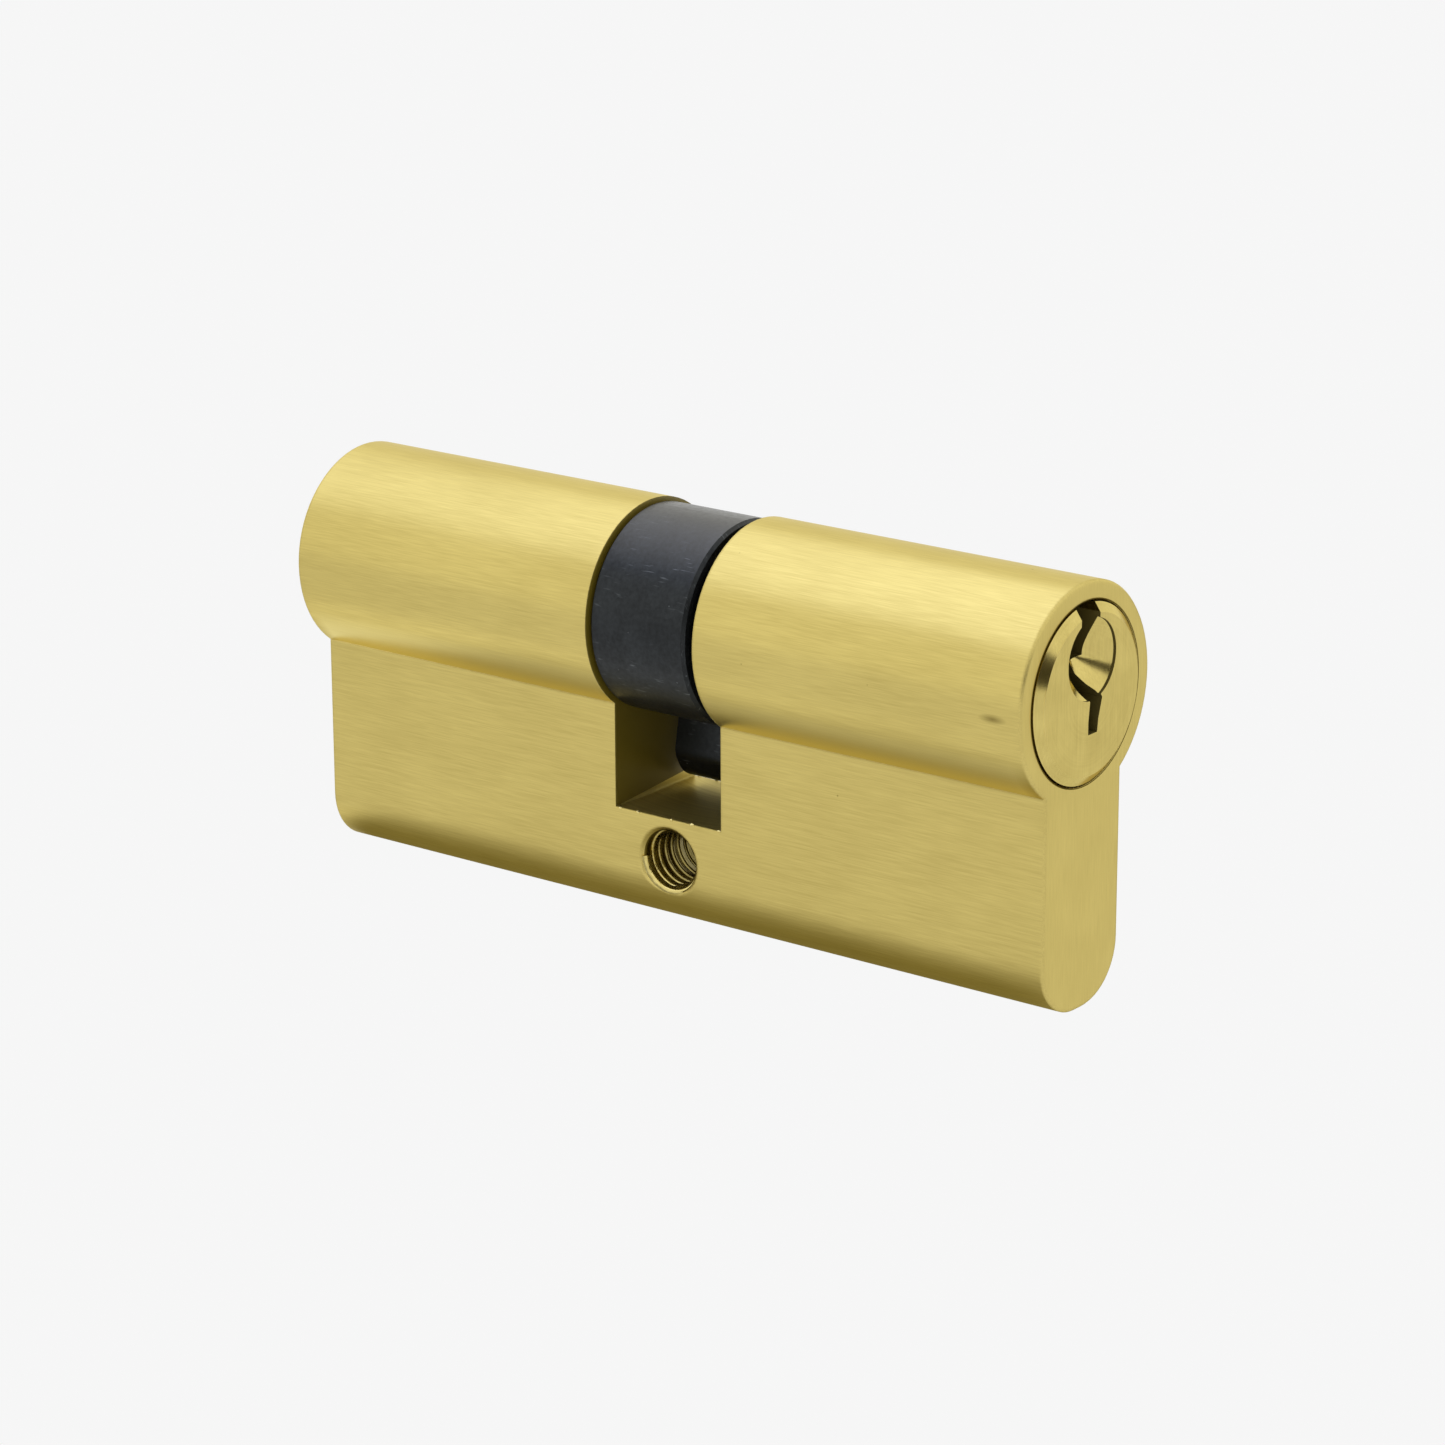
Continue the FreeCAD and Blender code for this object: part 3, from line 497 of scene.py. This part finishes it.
def phosphated_steel():
    """Manganese phosphate on spring steel: charcoal, with a fine crystalline grain."""
    material, tree, shader = new_material("phosphated_steel", metallic=0.7)
    crystals = grain(tree, (0.15, 0.15, 0.15), 4)
    finish_surface(tree, shader, crystals, "#3f4144", "#626468", crystals, 0.3, (0.4, 0.55))
    return material


give(phosphated_steel(), "retaining_ring_a", "retaining_ring_b")


# ---- Cam -----------------------------------------------------------------------------------------------
# The cam is pressed and sintered steel: a ring with a lobe that throws the bolt. Hot black oxide and oil
# give it a blue-grey bloom, and handling leaves pale specks and hairline scratches on the rim.

OXIDE_DARK, OXIDE_LIGHT = "#1b1d1e", "#303335"
HAIR_LENGTH, HAIR_WIDTH, HAIR_DEPTH = 1.6, 0.09, 0.5


def black_oxide():
    """Black oxide on sintered steel: blue-grey, mottled by pores, with pale rubs and scratches."""
    material, tree, shader = new_material("black_oxide_steel", metallic=0.75)
    pores = grain(tree, (0.35, 0.35, 0.35), 5)
    bloom = grain(tree, (3, 3, 3), 3, 2.0)
    tone = add(tree, "ShaderNodeMix", {0: 0.5, 2: pores, 3: bloom}, data_type="FLOAT").outputs[0]
    colour = finish_surface(tree, shader, tone, OXIDE_DARK, OXIDE_LIGHT, pores, 0.3, (0.28, 0.38), 0.3, 0.7)[0]
    # Hairline scratches: noise drawn out along one slant, with only its peaks kept.
    place = add(tree, "ShaderNodeTexCoord").outputs["Object"]
    drawn = tuple(1 / (size * MM) for size in (HAIR_LENGTH, HAIR_WIDTH, HAIR_DEPTH))
    slanted = add(tree, "ShaderNodeMapping", {
        "Vector": place, "Rotation": (0.6, 0.4, 0.7), "Scale": drawn,
    }).outputs[0]
    hairs = add(tree, "ShaderNodeTexNoise", {"Vector": slanted, "Scale": 1.0, "Detail": 1.0}).outputs[0]
    hairs = add(tree, "ShaderNodeMapRange", {
        "Value": hairs, "From Min": 0.66, "From Max": 0.78, "To Max": 0.45,
    }).outputs[0]
    dots = specks(tree, 0.7, 0.09, 0.3, 6.0)
    marks = add(tree, "ShaderNodeMath", {0: hairs, 1: dots}, operation="MAXIMUM").outputs[0]
    patchy = add(tree, "ShaderNodeMapRange", {"Value": bloom, "From Min": 0.42, "From Max": 0.6}).outputs[0]
    marks = add(tree, "ShaderNodeMath", {0: marks, 1: patchy}, operation="MULTIPLY").outputs[0]
    marked = add(tree, "ShaderNodeMix", {
        0: marks, 6: colour, 7: linear("#8b9094"),
    }, data_type="RGBA").outputs[2]
    # Faces that look up are painted a paler grey: painted light from above.
    normal = add(tree, "ShaderNodeNewGeometry").outputs["Normal"]
    upward = add(tree, "ShaderNodeSeparateXYZ", {0: normal}).outputs[2]
    top_light = add(tree, "ShaderNodeMapRange", {
        "Value": upward, "From Min": 0.6, "From Max": 1.0, "To Max": 0.6,
    }).outputs[0]
    top_lit = add(tree, "ShaderNodeMix", {
        0: top_light, 6: marked, 7: linear("#5e5b50"),
    }, data_type="RGBA").outputs[2]
    tree.links.new(top_lit, shader.inputs["Base Color"])
    return material


give(black_oxide(), "cam")


# ---- Clutch --------------------------------------------------------------------------------------------
# Two couplings, pressed and sintered from steel powder, meet nose to nose in the middle of the cam. Their
# wings slide in the plugs' slots, and whichever key is pushed in brings its own one into the cam.

def sintered_steel():
    """Bare sintered steel: mid grey and matt, pitted by its pores."""
    material, tree, shader = new_material("sintered_steel", metallic=1.0)
    pores = grain(tree, (0.12, 0.12, 0.12), 4, 3.0)
    finish_surface(tree, shader, pores, "#6d6e70", "#97989a", pores, 0.5, (0.4, 0.55))
    return material


give(sintered_steel(), "clutch_half_a", "clutch_half_b")


# ---- Pins ----------------------------------------------------------------------------------------------
# Key pins are turned from brass, each to its own length, with a tip that sits in one of the key's cuts.
# Driver pins are flat-ended steel, tumbled smooth. Both kinds drop loose into their chambers.

def pin_finish(name, dark, light, rough):
    """A turned pin: rings 0.15 mm apart up its length, on clean bright metal."""
    material, tree, shader = new_material(name, metallic=1.0)
    rings = grain(tree, (30, 30, 0.15), 2)
    finish_surface(tree, shader, rings, dark, light, rings, 0.15, (rough - 0.05, rough + 0.05))
    return material


key_pins = [name for name in nodes if name.startswith("key_pin")]
driver_pins = [name for name in nodes if name.startswith("driver_pin")]
give(pin_finish("turned_pin_brass", "#c8b468", "#dfcc80", 0.25), *key_pins)
give(pin_finish("tumbled_pin_steel", "#a4a5a7", "#c4c5c7", 0.28), *driver_pins)


# ---- Pin springs ---------------------------------------------------------------------------------------
# Coils of hard drawn phosphor bronze wire push the drivers up, so a key has to lift each pin to its height.
# Each is coiled cold, stands on the slug that closes its chamber, and shortens as its driver is pressed.

SPRING_TURNS, SPRING_WIRE, SPRING_END_GAP = 8.0, 0.16, 0.02


def spring_nodes():
    """Geometry Nodes: round wire swept along a helix that stands upright."""
    tree = bpy.data.node_groups.new("pin_spring_coil", "GeometryNodeTree")
    tree.interface.new_socket("Geometry", in_out="OUTPUT", socket_type="NodeSocketGeometry")
    for name in ("Turns", "Wire", "Radius", "Length", "Across", "Low"):
        tree.interface.new_socket(name, in_out="INPUT", socket_type="NodeSocketFloat")
    tree.interface.new_socket("Finish", in_out="INPUT", socket_type="NodeSocketMaterial")
    sizes = add(tree, "NodeGroupInput").outputs
    helix = add(tree, "GeometryNodeCurveSpiral", {
        "Resolution": 24, "Rotations": sizes["Turns"], "Start Radius": sizes["Radius"],
        "End Radius": sizes["Radius"], "Height": sizes["Length"],
    }).outputs[0]
    foot = add(tree, "ShaderNodeCombineXYZ", {0: sizes["Across"], 2: sizes["Low"]}).outputs[0]
    placed = add(tree, "GeometryNodeTransform", {"Geometry": helix, "Translation": foot}).outputs[0]
    section = add(tree, "GeometryNodeCurvePrimitiveCircle", {
        "Resolution": 10, "Radius": sizes["Wire"],
    }).outputs[0]
    coil = add(tree, "GeometryNodeCurveToMesh", {
        "Curve": placed, "Profile Curve": section, "Fill Caps": True,
    }).outputs[0]
    plain = add(tree, "GeometryNodeRealizeInstances", {"Geometry": coil}).outputs[0]
    painted = add(tree, "GeometryNodeSetMaterial", {"Geometry": plain, "Material": sizes["Finish"]}).outputs[0]
    add(tree, "NodeGroupOutput", {"Geometry": painted})
    return tree


def bronze_wire():
    """Phosphor bronze wire: reddish gold, with the die's lines drawn out along it."""
    material, tree, shader = new_material("drawn_bronze_wire", metallic=1.0)
    draw = grain(tree, (0.6, 0.6, 0.05), 2, 8.0)
    finish_surface(tree, shader, draw, "#a87a4c", "#cb9c6a", draw, 0.2, (0.22, 0.34))
    return material


wire_finish, coil_tree = bronze_wire(), spring_nodes()
for node_name in [name for name in nodes if name.startswith("pin_spring")]:
    low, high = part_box(node_name)
    height = high[2] - low[2]
    give(wire_finish, node_name)
    pin = node_name.removeprefix("pin_spring_")
    coil = made_by(coil_tree, "wound_spring_" + pin, {
        "Turns": SPRING_TURNS, "Wire": SPRING_WIRE * MM, "Radius": (high[0] - low[0]) / 2 - SPRING_WIRE * MM,
        "Length": height - 2 * SPRING_WIRE * MM, "Across": (low[0] + high[0]) / 2,
        "Low": low[2] + SPRING_WIRE * MM, "Finish": wire_finish,
    })
    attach(coil, "housing")
    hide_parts(node_name)
    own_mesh(coil)


# ---- Stage ---------------------------------------------------------------------------------------------
# A pale floor well below the lock, a white room, and a soft light box above to the left, with a faint one
# low down. A glowing card under the lock, pale in front and dark beneath it, gives the underside a painted
# shadow, and a dark flag off the keyed end shades its bevels.
# The camera sees neither of them. It looks at the keyed end from the right.

AZIMUTH, ELEVATION, ROLL = math.radians(37.7227), math.radians(17.2271), math.radians(-0.2188)
DISTANCE, RIGHT_SHIFT, UP_SHIFT = 0.3675814, 0.0012236, -0.008321
SENSOR, LENS = 36, 118.531
FLOOR_Z, FLOOR_HALF, FLOOR_GLOW = -0.25, 8.0, 0.923
CARD_Z, CARD_LOW, CARD_HIGH = -0.0275, (-0.038, -0.019), (0.034, 0.02)
CARD_PALE, CARD_DARK, CARD_DARK_Y = (0.92, 0.92, 0.92, 1), (0.30, 0.27, 0.14, 1), -0.005
FLAG_AWAY, FLAG_HALF, FLAG_LOW, FLAG_HIGH, FLAG_TURN = 1.1, 0.5, 0.03, 0.46, math.radians(-20)
BOX_PLACE, BOX_SIZE, BOX_GLOW = (-0.43, -0.03, 1.0), (0.64, 1.6), 1.5
LOW_PLACE, LOW_AIM, LOW_SIZE, LOW_GLOW = (-0.117, -0.0592, -0.151), (0.585, 0.296, 0.7555), 0.10, 0.25


def stage_plane(name, low, high, height, material):
    """A flat sheet of the stage, facing up."""
    mesh = bpy.data.meshes.new(name)
    corners = [(low[0], low[1]), (high[0], low[1]), (high[0], high[1]), (low[0], high[1])]
    mesh.from_pydata([(x, y, height) for x, y in corners], [], [(0, 1, 2, 3)])
    mesh.materials.append(material)
    plane = bpy.data.objects.new(name, mesh)
    bpy.context.scene.collection.objects.link(plane)
    return plane


camera_data = bpy.data.cameras.new("camera")
camera = bpy.data.objects.new("camera", camera_data)
bpy.context.scene.collection.objects.link(camera)
bpy.context.scene.camera = camera
level_share = math.cos(ELEVATION)
back = Vector((math.sin(AZIMUTH) * level_share, -math.cos(AZIMUTH) * level_share, math.sin(ELEVATION)))
level = (-back).cross(Vector((0, 0, 1))).normalized()
upright = level.cross(-back)
right = level * math.cos(ROLL) + upright * math.sin(ROLL)
up = upright * math.cos(ROLL) - level * math.sin(ROLL)
turn = Matrix((right, up, back)).transposed().to_4x4()
camera.matrix_world = Matrix.Translation(back * DISTANCE + right * RIGHT_SHIFT + up * UP_SHIFT) @ turn
camera_data.sensor_width = SENSOR
camera_data.lens = LENS
camera_data.clip_start = 0.01

pale_floor, _, shader = new_material("pale_floor", roughness=1.0)
shader.inputs["Specular IOR Level"].default_value = 0.0
shader.inputs["Base Color"].default_value = (0, 0, 0, 1)
shader.inputs["Emission Color"].default_value = (1, 1, 1, 1)
shader.inputs["Emission Strength"].default_value = FLOOR_GLOW
stage_plane("floor", (-FLOOR_HALF, -FLOOR_HALF), (FLOOR_HALF, FLOOR_HALF), FLOOR_Z, pale_floor)

# The card is no lamp, yet it glows: pale in front of the lock and dark under it, a painted shadow that the
# lock's underside reflects.
glowing_shade_card, tree, shader = new_material("glowing_shade_card", roughness=1.0, emission_strength=1.0)
shader.inputs["Specular IOR Level"].default_value = 0.0
shader.inputs["Base Color"].default_value = (0, 0, 0, 1)
place = add(tree, "ShaderNodeTexCoord").outputs["Object"]
depth = add(tree, "ShaderNodeSeparateXYZ", {0: place}).outputs[1]
fade = add(tree, "ShaderNodeMapRange", {
    "Value": depth, "From Min": CARD_LOW[1], "From Max": CARD_DARK_Y,
}).outputs[0]
shade = add(tree, "ShaderNodeMix", {0: fade, 6: CARD_PALE, 7: CARD_DARK}, data_type="RGBA").outputs[2]
tree.links.new(shade, shader.inputs["Emission Color"])
card = stage_plane("card", CARD_LOW, CARD_HIGH, CARD_Z, glowing_shade_card)
card.visible_camera = False

black_flag, _, shader = new_material("black_flag", roughness=1.0)
shader.inputs["Specular IOR Level"].default_value = 0.0
shader.inputs["Base Color"].default_value = linear("#332e1e")
flag_mesh = bpy.data.meshes.new("flag")
flag_corners = [(-FLAG_HALF, FLAG_LOW), (FLAG_HALF, FLAG_LOW), (FLAG_HALF, FLAG_HIGH), (-FLAG_HALF, FLAG_HIGH)]
flag_mesh.from_pydata([(0, y, z) for y, z in flag_corners], [], [(0, 1, 2, 3)])
flag_mesh.materials.append(black_flag)
flag_mesh.transform(Matrix.Rotation(FLAG_TURN, 4, "Z") @ Matrix.Translation((FLAG_AWAY, 0, 0)))
flag = bpy.data.objects.new("flag", flag_mesh)
bpy.context.scene.collection.objects.link(flag)
flag.visible_camera = False

room = bpy.data.worlds.new("white_room")
bpy.context.scene.world = room
room.use_nodes = True
room.node_tree.nodes["Background"].inputs["Color"].default_value = (1.0, 1.0, 0.98, 1)
room.node_tree.nodes["Background"].inputs["Strength"].default_value = 1.1

box_data = bpy.data.lights.new("light_box", "AREA")
box_data.shape = "RECTANGLE"
box_data.size, box_data.size_y = BOX_SIZE
box_data.color = (0.50, 0.58, 1.0)
box_data.energy = math.pi * box_data.size * box_data.size_y * BOX_GLOW
light_box = bpy.data.objects.new("light_box", box_data)
light_box.location = BOX_PLACE
light_box.rotation_euler = (0, math.atan2(BOX_PLACE[0], BOX_PLACE[2]), 0)
bpy.context.scene.collection.objects.link(light_box)
low_data = bpy.data.lights.new("low_box", "AREA")
low_data.shape = "RECTANGLE"
low_data.size = low_data.size_y = LOW_SIZE
low_data.color = (1.0, 1.0, 0.95)
low_data.energy = math.pi * low_data.size * low_data.size_y * LOW_GLOW
low_box = bpy.data.objects.new("low_box", low_data)
low_box.location = LOW_PLACE
low_box.rotation_euler = Vector(LOW_AIM).to_track_quat("-Z", "Y").to_euler()
bpy.context.scene.collection.objects.link(low_box)
bpy.context.scene.view_settings.view_transform = "Standard"
